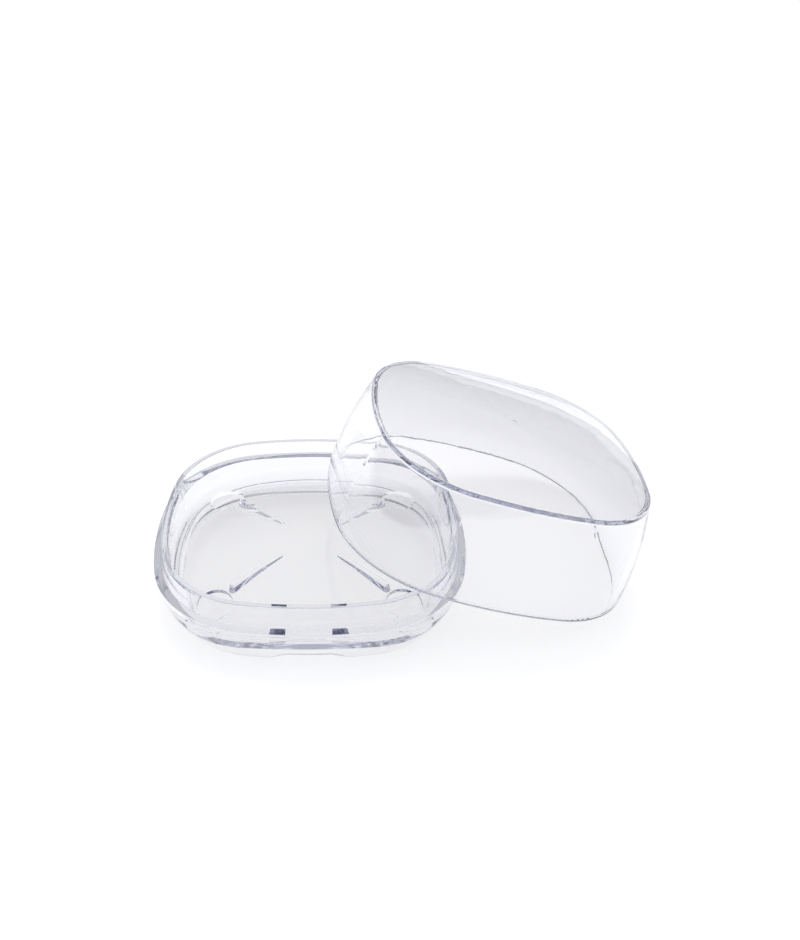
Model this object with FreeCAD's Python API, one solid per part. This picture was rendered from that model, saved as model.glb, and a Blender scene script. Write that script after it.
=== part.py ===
import FreeCAD, Part
import math
import os
from FreeCAD import Rotation, Vector

# Travel soap box: a clear moulded tray and the clear domed lid that drops over its neck.
# The lid is taken off and leans on the tray, with one end on the table.

# Plan outline shared by the tray's ledge and the lid's rim: bowed sides and round corners.
box_width = 92.0
box_depth = 87.0
side_bow_radius = 94.0
front_bow_radius = 121.0
corner_radius = 31.0

# Lid.
lid_height = 31.3
lid_taper = 4.9
lid_wall = 2.0
lid_lip = 1.0
lid_dome = 4.3
lid_edge_round = 0.6
lid_rim_round = 0.4
gate_diameter = 1.4
gate_depth = 0.25

# Tray.
lid_clearance = 0.5
ledge_height = 13.4
ledge_band = 1.4
rim_height = 20.5
neck_wall = 1.5
neck_draft = 0.4
inner_draft = 0.3
crown_height = 11.4
crown_radius = 167.0
floor_thickness = 2.0
floor_fillet = 3.0
foot_inset = 4.8
foot_width = 2.0
body_bulge = 0.8
body_bend_radius = 18.0
rim_round = 0.25
edge_round = 0.15

# Finger notch through the front of the foot ring.
notch_width = 22.0
notch_slope = 4.6
notch_height = 3.2

# Soap ribs and round dimples, one of each towards every corner.
dimple_diameter = 11.2
dimple_depth = 1.1
dimple_inset = 12.1
rib_start = 11.0
rib_gap = 0.35
rib_draft = 0.2
rib_inner_width = 1.5
rib_inner_height = 0.5
rib_outer_width = 2.6
rib_outer_height = 2.3

# Lean of the lid: how far its centre stands beyond the tray's side and back, and its turn.
lean_reach = 3.4
lean_back = 6.5
lean_turn = 1.5
lean_gap = 0.25
settling_steps = 12

half_width = box_width / 2
half_depth = box_depth / 2
UP = Vector(0, 0, 1)


def corner_place():
    """Centre of the corner arc tangent to both bowed sides, and the angles where it meets them."""
    side_centre = half_width - side_bow_radius
    front_centre = half_depth - front_bow_radius
    side_reach = side_bow_radius - corner_radius
    front_reach = front_bow_radius - corner_radius
    apart = math.hypot(side_centre, front_centre)
    along = (side_reach ** 2 - front_reach ** 2 + apart ** 2) / (2 * apart)
    across = math.sqrt(side_reach ** 2 - along ** 2)
    x = side_centre - side_centre * along / apart - front_centre * across / apart
    y = front_centre * along / apart - side_centre * across / apart
    first = math.atan2(y, x - side_centre)
    last = math.atan2(y - front_centre, x)
    return x, y, math.degrees(first), math.degrees(last)


def plan_arcs():
    """The outline's eight arcs, anticlockwise: centre, radius, start and end in degrees."""
    x, y, first, last = corner_place()
    side = half_width - side_bow_radius
    front = half_depth - front_bow_radius
    return [
        (Vector(side, 0, 0), side_bow_radius, -first, first),
        (Vector(x, y, 0), corner_radius, first, last),
        (Vector(0, front, 0), front_bow_radius, last, 180 - last),
        (Vector(-x, y, 0), corner_radius, 180 - last, 180 - first),
        (Vector(-side, 0, 0), side_bow_radius, 180 - first, 180 + first),
        (Vector(-x, -y, 0), corner_radius, 180 + first, 180 + last),
        (Vector(0, -front, 0), front_bow_radius, 180 + last, 360 - last),
        (Vector(x, -y, 0), corner_radius, 360 - last, 360 - first),
    ]


def outline(inset, z):
    """The plan outline drawn in by an inset, at a height."""
    edges = []
    for centre, radius, start, end in plan_arcs():
        edges.append(Part.makeCircle(radius - inset, centre + UP * z, UP, start, end))
    return Part.Wire(edges)


def inset_at(x, y):
    """How far a plan point lies inside the outline."""
    centre_x, centre_y, first, last = corner_place()
    x, y = abs(x), abs(y)
    side = half_width - side_bow_radius
    front = half_depth - front_bow_radius
    if math.degrees(math.atan2(y, x - side)) < first:
        return side_bow_radius - math.hypot(x - side, y)
    if math.degrees(math.atan2(y - front, x)) > last:
        return front_bow_radius - math.hypot(x, y - front)
    return corner_radius - math.hypot(x - centre_x, y - centre_y)


def rounded_loop(corners):
    """Closed wire through corners given as (point, radius), with an arc at each rounded one."""
    joints = []
    for i, (corner, radius) in enumerate(corners):
        to_last = (corners[i - 1][0] - corner).normalize()
        to_next = (corners[(i + 1) % len(corners)][0] - corner).normalize()
        half_angle = to_last.getAngle(to_next) / 2
        leg = radius / math.tan(half_angle)
        bisector = (to_last + to_next).normalize()
        middle = corner + bisector * (radius / math.sin(half_angle) - radius)
        joints.append((corner + to_last * leg, middle, corner + to_next * leg, radius))
    edges = []
    for i, (start, middle, end, radius) in enumerate(joints):
        if radius > 0:
            edges.append(Part.Arc(start, middle, end).toShape())
        following = joints[(i + 1) % len(joints)][0]
        if end.distanceToPoint(following) > 0.001:
            edges.append(Part.LineSegment(end, following).toShape())
    return Part.Wire(edges)


def swept_ring(section):
    """Solid ring with a section of (inset, height, radius) corners carried round the outline."""
    sectors = []
    for centre, radius, start, end in plan_arcs():
        outward = Vector(math.cos(math.radians(start)), math.sin(math.radians(start)), 0)
        corners = []
        for inset, z, rounding in section:
            corners.append((centre + outward * (radius - inset) + UP * z, rounding))
        face = Part.Face(rounded_loop(corners))
        sectors.append(face.revolve(centre, UP, end - start))
    return sectors[0].multiFuse(sectors[1:])


neck_inset = lid_wall + lid_clearance
rim_inset = neck_inset + neck_draft
inner_inset = rim_inset + neck_wall
foot_inner = foot_inset + foot_width
core_inset = foot_inner + floor_fillet


def edges_at(shape, height):
    """The level edges of a shape at a height."""
    found = []
    for edge in shape.Edges:
        box = edge.BoundBox
        if abs(box.ZMin - height) < 0.01 and abs(box.ZMax - height) < 0.01:
            found.append(edge)
    return found


def filled_ring(section):
    """Solid with a section swept round its side, and a plain core inside the section's two ends."""
    inset, bottom, top = section[0][0], section[0][1], section[-1][1]
    core = Part.Face(outline(inset, bottom)).extrude(UP * (top - bottom))
    return swept_ring(section).fuse(core).removeSplitter()


def tray_outside():
    """The tray's outside as a full block: foot, bulged side, ledge band, ledge, neck and rim."""
    band_bottom = ledge_height - ledge_band
    slope = math.hypot(foot_inset, band_bottom)
    bend_inset = foot_inset / 2 - body_bulge * band_bottom / slope
    bend_height = band_bottom / 2 - body_bulge * foot_inset / slope
    section = [
        (core_inset, 0, 0),
        (foot_inset, 0, edge_round),
        (bend_inset, bend_height, body_bend_radius),
        (0, band_bottom, edge_round),
        (0, ledge_height, edge_round),
        (neck_inset, ledge_height, edge_round),
        (rim_inset, rim_height, rim_round),
        (core_inset, rim_height, 0),
    ]
    return filled_ring(section)


def under_crown(drop):
    """The ball whose top is the floor's crown, or the same ball set lower by a drop."""
    centre = UP * (crown_height - crown_radius - drop)
    ball = Part.makeSphere(crown_radius, centre)
    ball.rotate(centre, Vector(1, 0, 0), 90)
    return ball


def crown_level(distance):
    """Height of the crowned floor at a level distance from its middle."""
    return crown_height - crown_radius + math.sqrt(crown_radius ** 2 - distance ** 2)


def soap_space():
    """The hollow over the floor, with drafted sides, the crowned floor and a fillet between them."""
    slope = inner_draft / (rim_height - ledge_height)
    low, high = foot_width, rim_height + rim_round
    rim_middle = (rim_inset + inner_inset) / 2
    section = [
        (core_inset, low, 0),
        (inner_inset + slope * (rim_height - low), low, 0),
        (inner_inset, rim_height, rim_round),
        (rim_middle, rim_height, 0),
        (rim_middle, high, 0),
        (core_inset, high, 0),
    ]
    hollow = filled_ring(section).cut(under_crown(0))
    floor = [face for face in hollow.Faces if isinstance(face.Surface, Part.Sphere)]
    return hollow.makeFillet(floor_fillet, floor[0].OuterWire.Edges)


def rib(direction, end):
    """Soap rib on the floor: a drafted bar that widens and rises towards the corner, with round ends."""
    across = UP.cross(direction)
    sunk = floor_thickness / 4

    def half_section(foot, width, height, side):
        low, high = width / 2 + rib_draft * sunk, width / 2 - rib_draft * height
        return [
            foot - UP * sunk,
            foot - UP * sunk + across * (side * low),
            foot + UP * height + across * (side * high),
            foot + UP * height,
        ]

    def section(*sizes):
        right, left = half_section(*sizes, 1), half_section(*sizes, -1)
        corners = [right[1], right[2], left[2], left[1], right[1]]
        return Part.makePolygon(corners)

    def round_end(foot, width, height, axis):
        corners = half_section(foot, width, height, 1)
        return Part.Face(Part.makePolygon(corners + corners[:1])).revolve(foot, axis, 180)

    def foot_at(distance):
        return direction * distance + UP * crown_level(distance)

    inner = (foot_at(rib_start + rib_inner_width / 2), rib_inner_width, rib_inner_height)
    outer = (foot_at(end - rib_outer_width / 2), rib_outer_width, rib_outer_height)
    bar = Part.makeLoft([section(*inner), section(*outer)], True, True)
    return bar.multiFuse([round_end(*inner, UP), round_end(*outer, -UP)])


def make_tray():
    """The tray: outside block less the soap space and the hollow foot, with ribs, dimples and notch."""
    body = tray_outside().cut(soap_space())
    foot_hollow = Part.Face(outline(foot_inner, 0)).extrude(UP * rim_height)
    body = body.cut(foot_hollow.common(under_crown(floor_thickness)))

    x, y, first, last = corner_place()
    middle = math.radians((first + last) / 2)
    reach = corner_radius - dimple_inset
    dimple_x = x + reach * math.cos(middle)
    dimple_y = y + reach * math.sin(middle)
    dimple_bottom = under_crown(dimple_depth)
    ribs, dimples = [], []
    for sign_x in (-1, 1):
        for sign_y in (-1, 1):
            centre = Vector(sign_x * dimple_x, sign_y * dimple_y, 0)
            rib_end = centre.Length - dimple_diameter / 2 - rib_gap
            ribs.append(rib(Vector(centre).normalize(), rib_end))
            post = Part.makeCylinder(dimple_diameter / 2, crown_height, centre)
            dimples.append(post.cut(dimple_bottom))
    body = body.multiFuse(ribs).cut(Part.makeCompound(dimples))

    low, high = notch_width / 2, notch_width / 2 - notch_slope
    front = -half_depth
    trapezoid = Part.makePolygon([
        Vector(-low, front, 0),
        Vector(low, front, 0),
        Vector(high, front, notch_height),
        Vector(-high, front, notch_height),
        Vector(-low, front, 0),
    ])
    notch = Part.Face(trapezoid).extrude(Vector(0, half_depth, 0))
    return body.cut(notch).removeSplitter()


def lid_block(inset, height, start):
    """Solid of the lid's outside or inside: its swept start, a wall that arcs inwards, and the dome."""
    rise = lid_height - lid_lip
    wall_radius = (rise ** 2 + lid_taper ** 2) / (2 * lid_taper)
    climb = height - lid_lip
    top_inset = inset + wall_radius - math.sqrt(wall_radius ** 2 - climb ** 2)
    bend = lid_lip + wall_radius * math.tan(math.asin(climb / wall_radius) / 2)
    section = start + [
        (inset, bend, wall_radius),
        (top_inset, height, 0),
        (start[0][0], height, 0),
    ]
    crown = []
    for share in (1.0, 0.82, 0.6, 0.35, gate_diameter / box_width / 2):
        ring = outline(top_inset, 0).scaled(share, Vector(0, 0, 0))
        ring.translate(UP * (height + lid_dome * (1 - share ** 2)))
        crown.append(ring)
    block = filled_ring(section).fuse(Part.makeLoft(crown, True, False))
    return block.makeFillet(lid_edge_round, edges_at(block, height))


def make_lid():
    """The lid with its rim on the plane z = 0 and its dome up."""
    core = lid_taper + 2 * lid_wall + lid_edge_round
    middle = lid_wall / 2
    outside = lid_block(0, lid_height, [(core, 0, 0), (0, 0, lid_rim_round)])
    inside_start = [
        (core, -lid_wall, 0),
        (middle, -lid_wall, 0),
        (middle, 0, 0),
        (lid_wall, 0, lid_rim_round),
    ]
    inside = lid_block(lid_wall, lid_height - lid_wall, inside_start)
    top = UP * (lid_height + lid_dome - gate_depth)
    gate = Part.makeCylinder(gate_diameter / 2, 2 * gate_depth, top)
    return outside.cut(inside).cut(gate).removeSplitter()


def rim_line():
    """Points along the middles of the lid rim's two rounded edges."""
    points = []
    for inset in (lid_rim_round, lid_wall - lid_rim_round):
        points += outline(inset, lid_rim_round).discretize(Distance=lid_wall / 4)
    return points


def lean():
    """Rotation and place of the leaning lid, with its rim on the table and on the tray's rim."""
    points = rim_line()
    seat = rim_height + lean_gap + lid_rim_round
    centre = Vector(half_width + lean_reach, lean_back, rim_height / 2)
    tilt = math.degrees(math.atan2(rim_height, box_width - half_width / 2))
    roll = 0.0
    for step in range(settling_steps):
        spin = Rotation(lean_turn, tilt, roll)
        placed = [spin.multVec(point) + centre for point in points]
        over = [p for p in placed if rim_inset < inset_at(p.x, p.y) < inner_inset]
        lowest = min(placed, key=lambda p: p.z)
        front = min((p for p in over if p.y < 0), key=lambda p: p.z)
        back = min((p for p in over if p.y > 0), key=lambda p: p.z)
        rows = []
        for point, height in ((lowest, lid_rim_round), (front, seat), (back, seat)):
            arm = spin.inverted().multVec(point - centre)
            rows.append((arm.x, arm.y, height - point.z))
        (x0, y0, h0), (x1, y1, h1), (x2, y2, h2) = rows
        area = (x1 - x0) * (y2 - y0) - (x2 - x0) * (y1 - y0)
        slope_x = ((h1 - h0) * (y2 - y0) - (h2 - h0) * (y1 - y0)) / area
        slope_y = ((x1 - x0) * (h2 - h0) - (x2 - x0) * (h1 - h0)) / area
        centre.z += h0 - slope_x * x0 - slope_y * y0
        tilt -= math.degrees(slope_x)
        roll += math.degrees(slope_y)
    return FreeCAD.Placement(centre, Rotation(lean_turn, tilt, roll))


tray = make_tray()
lid = make_lid()
lid.Placement = lean()

# The origin is on the table, under the middle of the box around both pieces.
reach = Part.makeCompound([tray, lid]).optimalBoundingBox(False, False)
middle = Vector(reach.Center.x, reach.Center.y, 0)
os.makedirs("parts", exist_ok=True)
for name, piece in (("tray", tray), ("lid", lid)):
    piece.translate(-middle)
    piece.exportStep("parts/" + name + ".step")
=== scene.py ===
import bpy
import math
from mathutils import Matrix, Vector


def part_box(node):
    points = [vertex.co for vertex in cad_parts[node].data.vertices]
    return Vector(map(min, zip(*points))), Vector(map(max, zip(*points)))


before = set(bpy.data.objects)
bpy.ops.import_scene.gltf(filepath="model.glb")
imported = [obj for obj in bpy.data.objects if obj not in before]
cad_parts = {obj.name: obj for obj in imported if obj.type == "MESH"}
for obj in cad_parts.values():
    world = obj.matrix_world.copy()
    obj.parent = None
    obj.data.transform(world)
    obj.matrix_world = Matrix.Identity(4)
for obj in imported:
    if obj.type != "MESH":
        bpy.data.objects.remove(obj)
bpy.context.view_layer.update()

# Tray: the lower half of the box, with a foot ring, a ledge for the lid and ribs that keep the soap dry.
# It is one moulding of clear polystyrene, injected into a polished steel mould.
# The hard gloss bends what lies behind it, and long ways through the plastic turn slightly blue.
MM = 0.001
wave_length = 9 * MM
wave_depth = 0.012 * MM
wear_patch = 14 * MM
haze_start, haze_full = 0.45, 0.75
most_haze = 0.05
bend_of_light = 1.59
toner_strength = 9.0


def linear(hex_colour):
    """An sRGB hex colour as linear red, green, blue and alpha."""
    channels = [int(hex_colour[i:i + 2], 16) / 255 for i in (1, 3, 5)]
    return [c / 12.92 if c <= 0.04045 else ((c + 0.055) / 1.055) ** 2.4 for c in channels] + [1.0]


def add_node(tree, kind, links=(), **settings):
    """A node with its settings, and links given as (its socket, the output that feeds it)."""
    node = tree.nodes.new(kind)
    for name, value in settings.items():
        if hasattr(node, name):
            setattr(node, name, value)
        else:
            node.inputs[name.replace("_", " ")].default_value = value
    for socket, source in links:
        tree.links.new(source, node.inputs[socket])
    return node


clear_polystyrene = bpy.data.materials.new("clear_polystyrene")
clear_polystyrene.use_nodes = True
tree = clear_polystyrene.node_tree
tree.nodes.clear()
place = add_node(tree, "ShaderNodeTexCoord")

# The moulded faces are not quite flat: they rise and sink a little where the plastic flowed and cooled.
flow_waves = add_node(
    tree, "ShaderNodeTexNoise", [("Vector", place.outputs["Object"])],
    Scale=1 / wave_length, Detail=1.0,
)
sink = add_node(
    tree, "ShaderNodeBump", [("Height", flow_waves.outputs["Fac"])],
    Strength=1.0, Distance=wave_depth,
)

# Handling leaves patches of faint haze on the gloss.
wear = add_node(
    tree, "ShaderNodeTexNoise", [("Vector", place.outputs["Object"])],
    Scale=1 / wear_patch, Detail=4.0,
)
haze = add_node(
    tree, "ShaderNodeMapRange", [("Value", wear.outputs["Fac"])],
    From_Min=haze_start, From_Max=haze_full, To_Min=0.0, To_Max=most_haze,
)
gloss = add_node(
    tree, "ShaderNodeBsdfPrincipled",
    [("Normal", sink.outputs["Normal"]), ("Roughness", haze.outputs["Result"])],
    Base_Color=linear("#fafafb"), IOR=bend_of_light, Transmission_Weight=1.0,
)
blue_toner = add_node(
    tree, "ShaderNodeVolumeAbsorption", Color=linear("#b9c0dc"), Density=toner_strength,
)
add_node(
    tree, "ShaderNodeOutputMaterial",
    [("Surface", gloss.outputs["BSDF"]), ("Volume", blue_toner.outputs["Volume"])],
)
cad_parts["tray"].material_slots[0].material = clear_polystyrene

# Lid: the upper half, a bowed wall and a shallow dome with the mould's gate mark at its middle.
# It is moulded from the same clear polystyrene, lies loose, and leans with its rim on the tray's rim.
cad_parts["lid"].material_slots[0].material = clear_polystyrene

# Table: a wide sheet of white paper under the box, pale enough to fade into the white round it.
# It is lit by the studio and keeps the shadows under the two halves.
table_size = 6.0
table_glow = 0.78
air_gap = 0.1 * MM
bpy.ops.mesh.primitive_plane_add(size=table_size, location=(0, 0, -air_gap))
table = bpy.context.object
table.name = "table"
white_paper = bpy.data.materials.new("white_paper")
white_paper.use_nodes = True
tree = white_paper.node_tree
tree.nodes.clear()

# The paper glows only where it is seen, straight, mirrored or through the plastic.
ray = add_node(tree, "ShaderNodeLightPath")
mirrored = add_node(
    tree, "ShaderNodeMath",
    [(0, ray.outputs["Is Camera Ray"]), (1, ray.outputs["Is Glossy Ray"])], operation="MAXIMUM",
)
seen = add_node(
    tree, "ShaderNodeMath",
    [(0, mirrored.outputs[0]), (1, ray.outputs["Is Transmission Ray"])], operation="MAXIMUM",
)
glow = add_node(tree, "ShaderNodeMath", [(0, seen.outputs[0])], operation="MULTIPLY")
glow.inputs[1].default_value = table_glow
sheet = add_node(tree, "ShaderNodeBsdfDiffuse", Color=linear("#c4c4c6"))
lift = add_node(tree, "ShaderNodeEmission", [("Strength", glow.outputs[0])])
paper = add_node(tree, "ShaderNodeAddShader", [(0, sheet.outputs[0]), (1, lift.outputs[0])])
add_node(tree, "ShaderNodeOutputMaterial", [("Surface", paper.outputs[0])])
table.data.materials.append(white_paper)

# Studio: grey walls that turn white towards the ceiling, with a dim blue-grey side behind the camera.
# The grey draws the lines along the ribs and edges, and a broad lamp high at the back casts the shadows.
# Past the table the camera sees a plain white backdrop.
wall_foot, wall_foot_shade = 0.12, "#9a9aa0"
wall_middle, wall_middle_shade = (0.22, 0.36), "#868690"
ceiling, ceiling_shade = 0.6, "#e8e8ea"
dim_direction = Vector((0.0, -0.85, 0.53))
dim_start, dim_full = 0.62, 0.82
wall_strength = 0.8
lamp_spread = math.radians(30)
lamp_lean = math.radians(-28)
lamp_strength = 0.5
light_bounces = 64

studio = bpy.data.worlds.new("studio")
bpy.context.scene.world = studio
studio.use_nodes = True
tree = studio.node_tree
tree.nodes.clear()
around = add_node(tree, "ShaderNodeTexCoord")
height = add_node(tree, "ShaderNodeSeparateXYZ", [(0, around.outputs["Generated"])])
room = add_node(tree, "ShaderNodeValToRGB", [(0, height.outputs["Z"])])
shades = room.color_ramp.elements
shades[0].position = wall_foot
shades[0].color = linear(wall_foot_shade)
shades[1].position = ceiling
shades[1].color = linear(ceiling_shade)
for level in wall_middle:
    band = shades.new(level)
    band.color = linear(wall_middle_shade)
dim_side = add_node(
    tree, "ShaderNodeVectorMath", [(0, around.outputs["Generated"])], operation="DOT_PRODUCT",
)
dim_side.inputs[1].default_value = dim_direction
dim_edge = add_node(
    tree, "ShaderNodeMapRange", [("Value", dim_side.outputs["Value"])],
    From_Min=dim_start, From_Max=dim_full,
)

# Sockets 6 and 7 are the two colours of the mix, and output 2 is the mixed colour.
shaded = add_node(tree, "ShaderNodeMix", [("Factor", dim_edge.outputs["Result"])], data_type="RGBA")
tree.links.new(room.outputs["Color"], shaded.inputs[6])
shaded.inputs[7].default_value = linear("#8a92ac")
walls = add_node(tree, "ShaderNodeBackground", [("Color", shaded.outputs[2])], Strength=wall_strength)
backdrop = add_node(tree, "ShaderNodeBackground", Color=linear("#ffffff"), Strength=1.0)
ray = add_node(tree, "ShaderNodeLightPath")
behind = add_node(
    tree, "ShaderNodeMixShader",
    [
        (0, ray.outputs["Is Camera Ray"]),
        (1, walls.outputs["Background"]),
        (2, backdrop.outputs["Background"]),
    ],
)
add_node(tree, "ShaderNodeOutputWorld", [("Surface", behind.outputs["Shader"])])

# The lamp lights the paper and isn't mirrored in the plastic.
soft_box = bpy.data.lights.new("soft_box", "SUN")
soft_box.angle = lamp_spread
soft_box.energy = lamp_strength
soft_box_stand = bpy.data.objects.new("soft_box", soft_box)
soft_box_stand.rotation_euler = (lamp_lean, 0.0, 0.0)
soft_box_stand.visible_glossy = False
soft_box_stand.visible_transmission = False
bpy.context.scene.collection.objects.link(soft_box_stand)

# Clear plastic passes light through many faces and mirrors it inside its walls.
bpy.context.scene.cycles.max_bounces = light_bounces
bpy.context.scene.cycles.glossy_bounces = light_bounces
bpy.context.scene.cycles.transmission_bounces = light_bounces

# Camera: at the viewing angle of the picture, a little over the front of the tray.
# The lens and its sideways shift follow the picture's framing, 800 by 940 pixels.
picture_width, picture_height = 800, 940
focal_pixels = 1004
axis_pixel = (334.9, 463.1)
sensor = 36
near_clip = 10 * MM
eye_from_tray = Vector((5.64, -235.87, 201.89)) * MM
view_direction = Vector((0.00603, 0.82242, -0.56885))
camera = bpy.data.cameras.new("camera")
camera.sensor_width = sensor
camera.lens = focal_pixels * sensor / picture_height
camera.shift_x = (picture_width / 2 - axis_pixel[0]) / picture_height
camera.shift_y = (axis_pixel[1] - picture_height / 2) / picture_height
camera.clip_start = near_clip
low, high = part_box("tray")
tray_middle = Vector(((low[0] + high[0]) / 2, (low[1] + high[1]) / 2, 0))
eye = bpy.data.objects.new("camera", camera)
eye.location = tray_middle + eye_from_tray
eye.rotation_mode = "QUATERNION"
eye.rotation_quaternion = view_direction.to_track_quat("-Z", "Y")
bpy.context.scene.collection.objects.link(eye)
bpy.context.scene.camera = eye
bpy.context.scene.view_settings.view_transform = "Standard"
